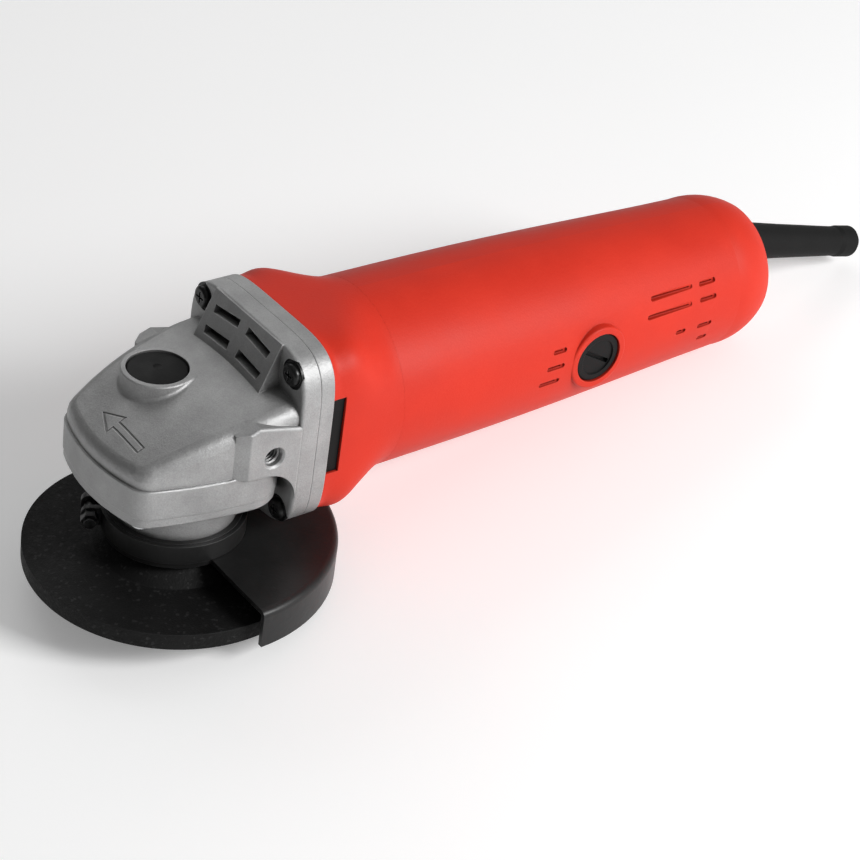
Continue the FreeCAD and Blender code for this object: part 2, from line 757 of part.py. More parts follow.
def guard_clamp_screw():
    mid_z = (GUARD_PLATE_Z1 + 0.3 + 21.0) / 2
    screw = pan_screw(V(NECK_R + 6.8, -4.25, mid_z), V(0, 1, 0), 3.0, 2.4, 2.0, 13.0)
    return turned(screw, GUARD_TURN_ANGLE)


def guard_clamp_nut():
    mid_z = (GUARD_PLATE_Z1 + 0.3 + 21.0) / 2
    nut = hexagon_z(5.4, 0, 3.0).cut(cyl_z(2.02, -1, 4))
    nut.rotate(V(0, 0, 0), V(1, 0, 0), -90)
    nut.translate(V(NECK_R + 6.8, 4.25, mid_z))
    return turned(nut, GUARD_TURN_ANGLE)


# ---------------------------------------------------------------- spindle lock
def lock_centre():
    a = math.radians(LOCK_ANGLE)
    return LOCK_R * math.cos(a), LOCK_R * math.sin(a)


def lock_pin():
    x, y = lock_centre()
    pin = cyl_z(LOCK_PIN_R, 48.8, 69.5, x, y)
    groove = cyl_z(LOCK_PIN_R + 1, 60.0, 60.8, x, y).cut(cyl_z(LOCK_PIN_R - 0.5, 59, 62, x, y))
    pin = pin.cut(groove)
    return fillet_where(pin, 0.5, lambda e: abs(e.CenterOfMass.z - 48.8) < 0.01)


def lock_cap():
    x, y = lock_centre()
    top_z = LOCK_COLLAR_Z + 0.2
    dome = Part.makeSphere(60, V(x, y, top_z - 60))
    cap = cyl_z(LOCK_CAP_R, 68.2, LOCK_COLLAR_Z + 2, x, y).common(dome)
    cap = fillet_where(cap, 0.5, lambda e: e.CenterOfMass.z > 69)
    dimple = Part.makeSphere(4.0, V(x, y, top_z + 3.65))
    return cap.cut([dimple, cyl_z(LOCK_PIN_R, 60, 69.5, x, y)])


def lock_spring():
    x, y = lock_centre()
    spring = coil_spring(5.2, 0.4, 1.7, 3.0)
    spring.translate(V(x, y, POCKET_Z + 0.55))
    return spring


# ---------------------------------------------------------------- motor housing
def barrel_radius(x):
    """Outer radius of the round barrel: slightly convex, tapering to the tail."""
    stations = [(66, 33.5), (100, 33.2), (140, 32.3), (180, 30.6), (210, 29.3), (250, 28.0)]
    for (xa, ra), (xb, rb) in zip(stations, stations[1:]):
        if xa <= x <= xb:
            return ra + (rb - ra) * (x - xa) / (xb - xa)
    return stations[-1][1]


def barrel_profile(inset, x_end):
    """Half profile of the barrel in the plane through its axis, as a face."""
    z = MOTOR_Z - inset
    points = [V(x, 0, z + barrel_radius(x)) for x in (ROUND_X, 85, 105, 130, 155, 180, 205, 226)]
    spline = Part.BSplineCurve()
    spline.interpolate(points)
    last = points[-1]
    shoulder = V(x_end - 5.2, 0, z + 24.6)
    end = V(x_end - 1.0, 0, z + 15.0)
    edges = [
        spline.toShape(),
        Part.Arc(last, V(238.2 - inset * 0.2, 0, z + 27.5), shoulder).toShape(),
        Part.Arc(shoulder, V(x_end - 2.4, 0, z + 20.6), end).toShape(),
        Part.LineSegment(end, V(x_end, 0, MOTOR_Z)).toShape(),
        Part.LineSegment(V(x_end, 0, MOTOR_Z), V(ROUND_X, 0, MOTOR_Z)).toShape(),
        Part.LineSegment(V(ROUND_X, 0, MOTOR_Z), points[0]).toShape(),
    ]
    return Part.Face(Part.Wire(edges))


def barrel_solid(inset, x_end):
    return barrel_profile(inset, x_end).revolve(V(0, 0, MOTOR_Z), V(1, 0, 0), 360)


def shoulder_loft(inset, x0):
    """From the squared flange outline to the round barrel, ending just inside its wall."""
    stations = [
        (x0, FLANGE_HALF, FLANGE_POWER), (43.0, FLANGE_HALF, FLANGE_POWER), (47.0, 34.0, 4.6),
        (51.0, 33.9, 3.6), (55.0, 33.8, 2.8), (59.0, 33.7, 2.3), (63.0, 33.55, 2.05), (ROUND_X, 33.47, 2.0),
        (ROUND_X + 4, 33.3, 2.0),
    ]
    wires = [superellipse(x, half - inset, power) for x, half, power in stations]
    return Part.makeLoft(wires, True, False)


def vent_groove(x0, x1, z, half_height, depth_y):
    """Rounded slot across the near wall from x0 to x1 at height z."""
    slot = box(x0 + half_height, x1 - half_height, depth_y, -15, z - half_height, z + half_height)
    ends = [cyl_y(half_height, depth_y, -15, x, z) for x in (x0 + half_height, x1 - half_height)]
    return fuse([slot] + ends)


def tail_slots():
    """(x0, x1, height above the motor axis) of the air inlet slots on each side."""
    return [
        (179.8, 201.0, 14.5), (204.5, 213.0, 14.1), (177.5, 200.2, 8.5), (204.4, 213.0, 8.5),
        (193.3, 198.3, -1.7), (204.6, 212.1, -2.1), (207.2, 212.2, -8.6), (126.5, 136.0, -4.4),
        (129.0, 137.2, 1.6), (131.5, 137.8, 7.4),
    ]


def rear_cover_region():
    """Everything on the switch side of a slanting plane, behind the cover's front edge."""
    x0, x1 = COVER_SPLIT_X, TAIL_X - 12.0
    half = 50.0
    region = box(x0, x1, -half, half, 0, half)
    region.translate(V(0, 0, 15.0))
    region = turned(region, -118, V(0, 0, 0), V(1, 0, 0))
    region.translate(V(0, 0, MOTOR_Z))
    return region


def slide_slot():
    return box(96, 96 + 16 + SWITCH_TRAVEL, 24, 40, MOTOR_Z - 3.4, MOTOR_Z + 3.4)


def front_shell():
    """Squared mouth of the housing with the four screw bosses and the air outlets."""
    solid = shoulder_loft(0, COVER_X1)
    body = solid.cut(cyl_x(30.4, COVER_X1 - 1, ROUND_X + 5))
    bosses = []
    for y, z in flange_screw_places():
        boss = cyl_x(5.0, COVER_X1 + 0.02, 58.0, y, z).common(shoulder_loft(0.6, COVER_X1))
        bosses.append(boss)
    body = fuse([body] + bosses)
    for y, z in flange_screw_places():
        body = body.cut(cyl_x(2.03, COVER_X1 - 1, 49.5, y, z))
    body = body.cut(cyl_x(29.4, COVER_X1 - 1, 58.5))
    for side in (1, -1):
        y0, y1 = (25, 40) if side > 0 else (-40, -25)
        body = body.cut(box(COVER_X1 - 1, COVER_X1 + 5.0, y0, y1, MOTOR_Z - 12.0, MOTOR_Z + 17.0))
    return body


def barrel_shell():
    """Round barrel and tail with the brush bosses, bearing bulkhead and core ribs."""
    body = barrel_solid(0, TAIL_X)
    for side in (1, -1):
        y0, y1 = (22, BRUSH_BOSS_Y) if side > 0 else (-BRUSH_BOSS_Y, -22)
        boss = cyl_y(BRUSH_BOSS_R, y0, y1, BRUSH_X, MOTOR_Z)
        boss = fillet_where(boss, 0.8, lambda e: abs(abs(e.CenterOfMass.y) - BRUSH_BOSS_Y) < 0.01)
        body = body.fuse(boss)
    body = body.cut(barrel_solid(WALL, TAIL_X - WALL))
    bulkhead = ring_x(barrel_radius(172) - 1.2, 11.6, 170.0, 180.0)
    window = box(165, 185, 15.0, 26.5, MOTOR_Z - 6, MOTOR_Z + 6)
    for tool in around(window, 6, V(0, 0, MOTOR_Z), V(1, 0, 0), 30):
        bulkhead = bulkhead.cut(tool)
    back_plate = ring_x(12.5, 6.5, 180.0, 182.0)
    ribs = []
    for angle in (45, 135, 225, 315):
        rib = box(CORE_X0 - 1, CORE_X1 + 1, -3, 3, 28.55, barrel_radius(110) - 1.2)
        rib = turned(rib, angle, V(0, 0, 0), V(1, 0, 0))
        rib.translate(V(0, 0, MOTOR_Z))
        ribs.append(rib)
    return fuse([body, bulkhead, back_plate] + ribs)


def housing_cutters():
    """Brush tubes, air slots, cord mouth and slide slot."""
    tools = []
    for side in (1, -1):
        y0, y1 = (10, 45) if side > 0 else (-45, -10)
        tools.append(cyl_y(6.6, y0, y1, BRUSH_X, MOTOR_Z))
        y0, y1 = (BRUSH_BOSS_Y - 4.0, 45) if side > 0 else (-45, -BRUSH_BOSS_Y + 4.0)
        tools.append(cyl_y(BRUSH_CAP_R + 0.25, y0, y1, BRUSH_X, MOTOR_Z))
    for x0, x1, dz in tail_slots():
        wall_y = math.sqrt(barrel_radius((x0 + x1) / 2) ** 2 - dz ** 2)
        groove = vent_groove(x0, x1, MOTOR_Z + dz, 0.9, -45)
        groove = groove.common(box(x0 - 1, x1 + 1, -45, -wall_y + 0.9, 0, 120))
        slit = vent_groove(x0 + 1.2, x1 - 1.2, MOTOR_Z + dz - 0.3, 0.35, -45)
        tools += both_sides(groove) + both_sides(slit)
    tools.append(cord_mouth(8.6))
    tools.append(slide_slot())
    tools.append(box(84.5, 128, 30.9, 40, MOTOR_Z - 9.2, MOTOR_Z + 9.2))
    return tools


def motor_housing_whole():
    return barrel_shell().cut(housing_cutters())


def cord_mouth(radius):
    x = CORD_X0 - 4.0
    return cyl(radius, V(x, 0, cord_height(x)), CORD_DIRECTION, 22)


def cover_screw_places():
    """(x, outside y) of the cover screws, both COVER_SCREW_DROP below the motor axis."""
    places = []
    for x in (187.0, 221.0):
        places.append((x, math.sqrt(barrel_radius(x) ** 2 - COVER_SCREW_DROP ** 2)))
    return places


def cover_posts():
    """Posts inside the housing, from its far wall to the cover's bosses."""
    posts = []
    for x, y in cover_screw_places():
        post = cyl_y(3.6, -y + 1.0, y - 9.1, x, MOTOR_Z - COVER_SCREW_DROP)
        posts.append(post.common(barrel_solid(1.0, TAIL_X)))
    return posts


def cover_screw_holes(radius):
    return [cyl_y(radius, 0, y + 5, x, MOTOR_Z - COVER_SCREW_DROP) for x, y in cover_screw_places()]


def cord_saddle():
    """Cross rib that the cord lies on, notched for it, with feet for the clamp."""
    x = CLAMP_X
    rib = box(x - 4, x + 4, -27, 14, 56, CLAMP_Z - 0.02).common(barrel_solid(1.2, TAIL_X))
    notch = box(x - 5, x + 5, -4, 4, 69, 80)
    channel = cyl(4.0, V(x - 7, 0, cord_height(x - 7)), CORD_DIRECTION, 16)
    rib = rib.cut(notch).cut(channel)
    return rib.cut([cyl_z(1.2, 62, 80, x, y) for y in (-CLAMP_SCREW_Y, CLAMP_SCREW_Y)])


def motor_housing():
    tail = motor_housing_whole().cut(rear_cover_region())
    tail = fuse([tail, cord_saddle()] + cover_posts())
    tail = tail.cut(cover_screw_holes(1.25))
    return fuse([front_shell(), tail])


def rear_cover():
    region = rear_cover_region()
    inner = region.copy()
    inner.scale(0.9985, region.CenterOfMass)
    shell = motor_housing_whole().cut(ring_x(29.0, 6.0, 165, 183))
    shell = shell.common(inner)
    bosses = []
    for x, y in cover_screw_places():
        boss = cyl_y(4.6, y - 9.0, y + 2, x, MOTOR_Z - COVER_SCREW_DROP)
        bosses.append(boss.common(barrel_solid(0.8, TAIL_X)))
    shell = fuse([shell] + bosses)
    shell = shell.cut(cover_screw_holes(1.75))
    seats = [cyl_y(3.4, y - 2.0, y + 5, x, MOTOR_Z - COVER_SCREW_DROP) for x, y in cover_screw_places()]
    return shell.cut(seats)


def rear_cover_screws():
    screws = []
    for x, y in cover_screw_places():
        start = V(x, y - 2.0, MOTOR_Z - COVER_SCREW_DROP)
        screws.append(pan_screw(start, V(0, -1, 0), 2.9, 2.0, 1.2, 14.0))
    return screws


# ---------------------------------------------------------------- motor
def field_core():
    """Laminated stack with two poles and four coil pockets."""
    outer = cyl_x(28.5, CORE_X0, CORE_X1)
    flats = box(CORE_X0 - 1, CORE_X1 + 1, -40, 40, MOTOR_Z - 25, MOTOR_Z + 25)
    core = outer.common(flats)
    core = core.cut(cyl_x(ROTOR_R + 0.5, CORE_X0 - 1, CORE_X1 + 1))
    cutters = []
    for y0, y1 in ((12.4, COIL_Y1 + 0.3), (-COIL_Y1 - 0.3, -12.4)):
        for z0, z1 in ((9.0, COIL_Z1 + 0.3), (-COIL_Z1 - 0.3, -9.0)):
            cutters.append(box(CORE_X0 - 1, CORE_X1 + 1, y0, y1, MOTOR_Z + z0, MOTOR_Z + z1))
    for y in (-FIELD_SCREW_Y, FIELD_SCREW_Y):
        cutters.append(cyl_x(1.65, CORE_X0 - 1, CORE_X1 + 1, y, MOTOR_Z))
    return core.cut(cutters)


def field_coils():
    """Two saddle coils, one each side of the rotor, through the core's four pockets."""
    coils = []
    for y0, y1 in ((12.7, COIL_Y1), (-COIL_Y1, -12.7)):
        outer = box(CORE_X0 - 7, CORE_X1 + 7, y0, y1, MOTOR_Z - COIL_Z1, MOTOR_Z + COIL_Z1)
        inner = box(CORE_X0 - 0.2, CORE_X1 + 0.2, y0 - 1, y1 + 1, MOTOR_Z - 9.3, MOTOR_Z + 9.3)
        coil = fillet_where(outer, 3.0, lambda e: abs(middle(e).y - (y0 + y1) / 2) < 0.1)
        coil = coil.cut([inner, cyl_x(ROTOR_R + 1.6, CORE_X0 - 10, CORE_X1 + 10)])
        coils.append(coil)
    return coils


def field_screws():
    screws = []
    for y in (-FIELD_SCREW_Y, FIELD_SCREW_Y):
        start = V(CORE_X0 - 0.02, y, MOTOR_Z)
        screws.append(pan_screw(start, V(1, 0, 0), 2.2, 1.8, 1.6, CORE_X1 - CORE_X0 + 4))
    return screws


def armature_shaft():
    return turned_x(
        [
            (9.0, 0), (9.0, 2.1), (9.4, 2.48), (26.0, 2.48), (26.0, 5.0), (41.0, 5.0), (41.5, 5.6),
            (66.0, 5.6), (66.0, 5.0), (171.0, 5.0), (171.0, 3.5), (179.2, 3.5), (179.8, 2.9), (179.8, 0),
        ]
    )


def armature_core():
    core = cyl_x(ROTOR_R, CORE_X0 + 0.5, CORE_X1 - 0.5)
    slot = box(CORE_X0, CORE_X1, -1.1, 1.1, MOTOR_Z + 15.4, MOTOR_Z + 20)
    pocket = cyl_x(1.9, CORE_X0, CORE_X1, 0, MOTOR_Z + 13.8)
    cutters = around(slot.fuse(pocket), 12, V(0, 0, MOTOR_Z), V(1, 0, 0))
    for tool in cutters:
        core = core.cut(tool)
    return core.cut(cyl_x(5.0, 60, 130))


def armature_windings():
    """Wound end turns both sides of the core, joined by the bars in its slots."""
    front = turned_x([(61.5, 5.6), (61.5, 11.5), (64, 15.2), (CORE_X0 + 0.5, 15.8), (CORE_X0 + 0.5, 5.6)])
    front = front.cut(cyl_x(5.6, 60, 72))
    rear = turned_x([(CORE_X1 - 0.5, 5.0), (CORE_X1 - 0.5, 15.8), (125, 15.4), (130.5, 10.6), (130.5, 5.0)])
    rear = rear.cut(cyl_x(5.0, 110, 132))
    pocket = cyl_x(1.75, CORE_X0 - 1, CORE_X1 + 1, 0, MOTOR_Z + 13.8)
    bars = around(pocket, 12, V(0, 0, MOTOR_Z), V(1, 0, 0))
    return fuse([front, rear] + bars)


def commutator():
    body = ring_x(10.4, 5.0, 143.0, 165.0)
    risers = ring_x(12.0, 5.0, 139.6, 143.0)
    body = fuse([body, risers])
    groove = box(141, 166, -0.25, 0.25, MOTOR_Z + 9.2, MOTOR_Z + 13)
    for tool in around(groove, 24, V(0, 0, MOTOR_Z), V(1, 0, 0)):
        body = body.cut(tool)
    return body


def fan():
    """Radial fan: back disc, hub and curved-away blades."""
    hub = ring_x(9.5, 5.6, FAN_X0, FAN_X1 + 3.0)
    disc = ring_x(FAN_R, 5.6, FAN_X1 - 1.6, FAN_X1)
    blade = box(FAN_X0, FAN_X1 - 1.0, -0.8, 0.8, 14.5, FAN_R - 0.3)
    blade = turned(blade, 24, V(0, 0, 14.5), V(1, 0, 0))
    blade.translate(V(0, 0, MOTOR_Z))
    blades = [b.common(cyl_x(FAN_R - 0.2, 40, 60)) for b in around(blade, 14, V(0, 0, MOTOR_Z), V(1, 0, 0))]
    return fuse([hub, disc] + blades)


def air_baffle():
    """Black ring between the cover plate and the fan; air turns round it to the outlets."""
    x0 = COVER_X1 + 0.02
    body = turned_x(
        [
            (x0, 16.2), (x0, 29.3), (37.0, 29.3), (43.4, 27.8), (43.4, 26.4), (38.6, 20.0), (37.4, 16.2),
        ]
    )
    body = body.cut(air_passages(x0 - 1, 40.0))
    # tabs that show in the housing's side windows
    tab = box(x0, 40.2, 27.5, 33.0, MOTOR_Z - 11.9, MOTOR_Z + 16.9)
    return fuse([body] + both_sides(tab))


# ---------------------------------------------------------------- brushes
def brush_holders():
    """Square brass tubes in round plastic sleeves, one each side of the commutator."""
    holders = []
    for side in (1, -1):
        y0, y1 = (12.2, 28.2) if side > 0 else (-28.2, -12.2)
        tube = cyl_y(6.55, y0, y1, BRUSH_X, MOTOR_Z)
        tube = tube.cut(box(BRUSH_X - 3.6, BRUSH_X + 3.6, -40, 40, MOTOR_Z - 2.8, MOTOR_Z + 2.8))
        holders.append(tube)
    return holders


def carbon_brushes():
    brushes = []
    for side in (1, -1):
        y0, y1 = (10.1, 22.0) if side > 0 else (-22.0, -10.1)
        brush = box(BRUSH_X - 3.5, BRUSH_X + 3.5, y0, y1, MOTOR_Z - 2.7, MOTOR_Z + 2.7)
        brushes.append(brush.cut(cyl_x(10.4 + 0.3, 130, 170)))
    return brushes


def brush_springs():
    springs = []
    for side in (1, -1):
        spring = coil_spring(2.1, 0.28, 1.5, 3.0)
        spring.rotate(V(0, 0, 0), V(1, 0, 0), -90)
        spring.translate(V(BRUSH_X, 22.6, MOTOR_Z))
        if side < 0:
            spring = spring.mirror(V(0, 0, 0), V(0, 1, 0))
        springs.append(spring)
    return springs


def brush_caps():
    """Screw caps with a coin slot, a little below the boss face."""
    caps = []
    face_y = BRUSH_BOSS_Y - 0.5
    cap = cyl_y(BRUSH_CAP_R, BRUSH_BOSS_Y - 3.9, face_y, BRUSH_X, MOTOR_Z)
    cap = fillet_where(cap, 0.7, lambda e: abs(e.CenterOfMass.y - face_y) < 0.01)
    dish = cyl_y(7.0, face_y - 0.5, face_y + 1, BRUSH_X, MOTOR_Z)
    slot = box(BRUSH_X - 6.4, BRUSH_X + 6.4, face_y - 1.9, face_y + 1, MOTOR_Z - 0.8, MOTOR_Z + 0.8)
    slot = turned(slot, 30, V(BRUSH_X, 0, MOTOR_Z), V(0, 1, 0))
    cap = cap.cut(dish).cut(slot)
    for side in (1, -1):
        caps.append(cap if side > 0 else cap.mirror(V(0, 0, 0), V(0, 1, 0)))
    return caps


# ---------------------------------------------------------------- tail
CORD_DROOP = math.radians(13.2)
CORD_DIRECTION = V(math.cos(CORD_DROOP), 0, -math.sin(CORD_DROOP))
CORD_X0 = 246.0
CORD_Z0 = 64.1              # height of the cord's axis at CORD_X0
CORD_BORE_R = 3.6
CORD_GUARD_LENGTH = 82.0
CORD_GUARD_INSIDE = 7.8     # length of the guard ahead of CORD_X0
CLAMP_X = 225.5
CLAMP_Z = 72.57             # underside of the clamp strap
CLAMP_SCREW_Y = 10.5


def cord_height(x):
    return CORD_Z0 - math.tan(CORD_DROOP) * (x - CORD_X0)


def cord_guard():
    """Rubber sleeve: collar inside the housing, tapered outside with a bead at its end."""
    length = CORD_GUARD_LENGTH
    points = [
        (0, CORD_BORE_R), (0, 9.6), (2.6, 9.6), (2.6, 8.5), (10.6, 8.5), (11.2, 7.5), (35.5, 6.7),
        (length - 12.0, 5.9), (length - 9.5, 6.3), (length - 2.0, 6.3), (length, 4.9), (length, CORD_BORE_R),
    ]
    sleeve = polygon_face([V(x, 0, r) for x, r in points]).revolve(V(0, 0, 0), V(1, 0, 0), 360)
    sleeve.rotate(V(0, 0, 0), V(0, 1, 0), math.degrees(CORD_DROOP))
    sleeve.translate(V(CORD_X0, 0, CORD_Z0) - CORD_DIRECTION * CORD_GUARD_INSIDE)
    return sleeve


def cord_clamp():
    strap = box(CLAMP_X - 3.5, CLAMP_X + 3.5, -14, 14, CLAMP_Z, CLAMP_Z + 2.0)
    strap = fillet_where(strap, 1.5, lambda e: abs(abs(middle(e).y) - 14) < 0.01 and e.Length < 3)
    return strap.cut([cyl_z(1.6, 60, 80, CLAMP_X, y) for y in (-CLAMP_SCREW_Y, CLAMP_SCREW_Y)])


def cord_clamp_screws():
    screws = []
    for side in (1, -1):
        start = V(CLAMP_X, side * CLAMP_SCREW_Y, CLAMP_Z + 2.02)
        screws.append(pan_screw(start, V(0, 0, -1), 2.6, 1.6, 1.15, 9.0))
    return screws


def switch_body():
    body = box(190, 216, -9, 9, MOTOR_Z - 13, MOTOR_Z + 8)
    return fillet_where(body, 1.0, lambda e: e.Length > 17)


def capacitor():
    body = box(191.5, 211.5, -8.5, 8.5, MOTOR_Z - 22, MOTOR_Z - 14.2)
    return fillet_where(body, 1.2, lambda e: e.Length > 16)


def switch_knob():
    """Slide knob on the outside, with grip ribs and a neck through the slot."""
    y0 = 31.3
    plate = box(92, 92 + 24, y0, y0 + 2.4, MOTOR_Z - 8, MOTOR_Z + 8)
    plate = fillet_where(plate, 2.0, lambda e: abs(middle(e).y - y0 - 1.2) < 0.01)
    parts = [plate]
    for i in range(5):
        x = 97.0 + i * 3.6
        rib = box(x, x + 1.7, y0 + 2.0, y0 + 4.2 - abs(i - 2) * 0.4, MOTOR_Z - 6.4, MOTOR_Z + 6.4)
        parts.append(rib)
    neck = box(102.4, 111.4, 29.6, y0 + 0.5, MOTOR_Z - 2.9, MOTOR_Z + 2.9)
    parts.append(neck)
    return fuse(parts)


def switch_rod():
    """Flat rod inside the wall, from the knob's neck round and back to the switch."""
    lift = 30.0
    yoke = ring_x(29.55, 28.75, 103.0, 110.8).common(box(100, 112, 0, 40, MOTOR_Z - 2.6, MOTOR_Z + 17.5))
    strips = [
        box(103.0, 133.0, 28.75, 29.4, -2, 2),
        box(132.2, 133.0, 25.2, 29.4, -2, 2),
        box(132.2, 203.0, 25.2, 26.1, -2, 2),
        box(202.2, 203.0, 13.5, 26.1, -2, 2),
    ]
    rod = fuse(strips)
    rod.rotate(V(0, 0, 0), V(1, 0, 0), lift)
    rod.translate(V(0, 0, MOTOR_Z))
    link = box(104.0, 109.8, 28.8, 29.61, MOTOR_Z - 2.4, MOTOR_Z + 2.4)
    return fuse([yoke, rod, link])


def tube(points, radius):
    parts = []
    for a, b in zip(points, points[1:]):
        parts.append(cyl(radius, a, b - a, (b - a).Length))
    for p in points[1:-1]:
        parts.append(Part.makeSphere(radius, p))
    return fuse(parts)


def motor_leads():
    """Insulated wires from the switch to the field coils and the brush tubes."""
    end = CORE_X1 + 7.05
    routes = [
        [(190, -6, 45.5), (188, -6, 45.5), (184, -17, 46), (end, -17, 45.5)],
        [(190, 6, 45.5), (188, 6, 45.5), (184, 15.5, 45.5), (end, 15.5, 45.5)],
        [(190, -6, 60), (188, -6, 60), (184, -17.3, 65), (166, -17.3, 65), (160.4, -19, 60)],
        [(190, 3, 47), (188, 3, 47), (184, 19, 43), (166, 19.5, 43), (160.4, 20, 50)],
    ]
    return [tube([V(*p) for p in route], 0.9) for route in routes]


# ---------------------------------------------------------------- fasteners in groups
def flange_screws():
    screws = []
    for y, z in flange_screw_places():
        screws.append(pan_screw(V(FLANGE_X0 + 1.2, y, z), V(1, 0, 0), 3.9, 2.9, 2.0, 24.8, 0.8))
    return screws


def bearing_box_screws():
    screws = []
    for x, y in box_screw_places():
        screws.append(pan_screw(V(x, y, BOX_FLANGE_Z0 + 0.6), V(0, 0, 1), 3.3, 2.5, 1.6, 11.0))
    return screws


def bearing_retainer():
    return ring_z(15.9, 10.2, 31.05, 33.0)


def spindle_seal():
    return ring_z(11.4, 7.45, NECK_Z0 + 2.55, NECK_Z0 + 3.95)


def needle_bearing():
    return ring_z(5.98, 4.0 + RUN, 51.6, 59.6)


# ---------------------------------------------------------------- build
def build():
    save("gear_housing", gear_housing())
    save("gear_housing_cover", gear_housing_cover())
    save("bearing_box", bearing_box())
    save("flange_screws", flange_screws())
    save("bearing_box_screws", bearing_box_screws())
    save("bearing_retainer", bearing_retainer())
    save("spindle_seal", spindle_seal())
    save("needle_bearing", needle_bearing())

    outer, inner = ball_bearing(6.0, 16.0, 10.0)
    for part in outer + [inner]:
        part.translate(V(0, 0, SPINDLE_BEARING_Z))
    save("spindle_bearing_outer", outer)
    save("spindle_bearing_inner", inner)
    outer, inner = ball_bearing(5.0, 13.0, 8.0)
    save("front_bearing_outer", [onto_motor_axis(p, FRONT_BEARING_X) for p in outer])
    save("front_bearing_inner", onto_motor_axis(inner, FRONT_BEARING_X))
    outer, inner = ball_bearing(3.5, 9.5, 6.0)
    save("rear_bearing_outer", [onto_motor_axis(p, REAR_BEARING_X) for p in outer])
    save("rear_bearing_inner", onto_motor_axis(inner, REAR_BEARING_X))
    save("rear_bearing_sleeve", ring_x(11.55, 9.52, REAR_BEARING_X - 0.5, 179.9))

    save("spindle", spindle())
    save("bevel_gear", bevel_gear())
    save("gear_key", gear_key())
    save("gear_circlip", gear_circlip())
    save("inner_flange", inner_flange())
    save("grinding_disc", grinding_disc())
    save("lock_nut", lock_nut())

    save("wheel_guard", wheel_guard())
    save("guard_clamp", guard_clamp())
    save("guard_clamp_screw", guard_clamp_screw())
    save("guard_clamp_nut", guard_clamp_nut())

    save("lock_pin", lock_pin())
    save("lock_cap", lock_cap())
    save("lock_spring", lock_spring())

    save("motor_housing", motor_housing())
    save("rear_cover", rear_cover())
    save("rear_cover_screws", rear_cover_screws())
    save("field_core", field_core())
    save("field_coils", field_coils())
    save("field_screws", field_screws())
    save("armature_shaft", armature_shaft())
    save("armature_core", armature_core())
    save("armature_windings", armature_windings())
    save("commutator", commutator())
    save("fan", fan())
    save("bevel_pinion", bevel_pinion())
    save("air_baffle", air_baffle())
    save("pinion_nut", pinion_nut())

    save("brush_holders", brush_holders())
    save("carbon_brushes", carbon_brushes())
    save("brush_springs", brush_springs())
    save("brush_caps", brush_caps())

    save("cord_guard", cord_guard())
    save("cord_clamp", cord_clamp())
    save("cord_clamp_screws", cord_clamp_screws())
    save("switch_body", switch_body())
    save("capacitor", capacitor())
    save("switch_knob", switch_knob())
    save("switch_rod", switch_rod())
    save("motor_leads", motor_leads())


build()
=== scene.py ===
import bpy
import bmesh
import json
import math
from mathutils import Matrix, Vector


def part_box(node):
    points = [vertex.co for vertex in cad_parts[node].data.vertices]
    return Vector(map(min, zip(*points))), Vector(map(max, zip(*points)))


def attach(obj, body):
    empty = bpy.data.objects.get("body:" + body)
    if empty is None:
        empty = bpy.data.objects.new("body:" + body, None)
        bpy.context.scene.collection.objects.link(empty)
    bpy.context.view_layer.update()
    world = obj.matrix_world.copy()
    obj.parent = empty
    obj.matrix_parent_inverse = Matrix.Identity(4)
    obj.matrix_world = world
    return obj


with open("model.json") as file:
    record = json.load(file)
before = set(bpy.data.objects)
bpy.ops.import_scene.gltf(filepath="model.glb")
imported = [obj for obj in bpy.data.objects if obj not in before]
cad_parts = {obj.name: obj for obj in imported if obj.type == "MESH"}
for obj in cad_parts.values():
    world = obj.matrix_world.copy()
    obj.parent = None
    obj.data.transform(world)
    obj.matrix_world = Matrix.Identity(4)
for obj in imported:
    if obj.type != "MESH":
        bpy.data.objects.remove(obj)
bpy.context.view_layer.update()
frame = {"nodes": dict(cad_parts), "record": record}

MM = 0.001
BEVEL_SAMPLES = 4
OCCLUSION_SAMPLES = 6
RECORD = frame["record"]
MOUNTS = {m["name"]: m for m in RECORD["mounts"]}


